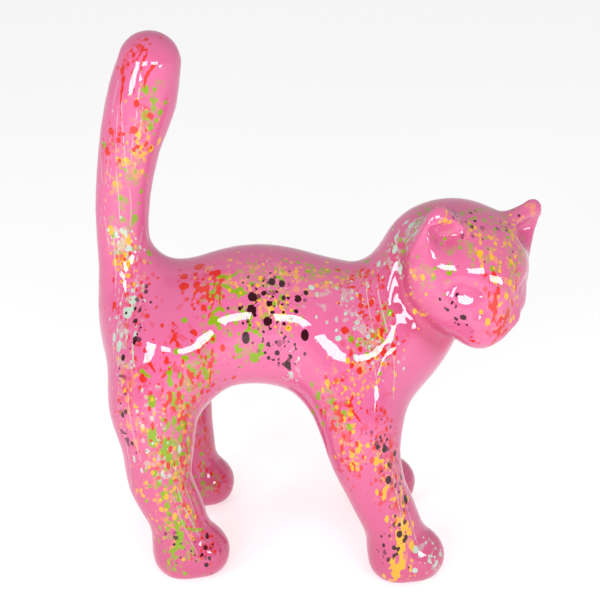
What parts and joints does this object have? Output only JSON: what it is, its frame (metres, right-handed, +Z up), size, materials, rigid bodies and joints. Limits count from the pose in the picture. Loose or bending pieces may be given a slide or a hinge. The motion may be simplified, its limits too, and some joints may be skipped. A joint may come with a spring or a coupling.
{
  "type": "resin cat sculpture",
  "caption": "Glossy one-piece resin cat on four legs, with an arched back, upright tail and turned, lowered head, in pink with paint splatter.",
  "frame": {"origin": "on the surface that the cat stands on, under the middle of its bounding box", "axes": "+Z up, +X from the tail towards the chest, +Y towards the cat's left side; the picture looks along +Y from a little above"},
  "size_m": [0.2692, 0.1322, 0.3316],
  "materials": {
    "lacquer": "high gloss clear coat over pink with splattered paint"
  },
  "bodies": {
    "root": {"cat": "lacquer"}
  },
  "joints": []
}
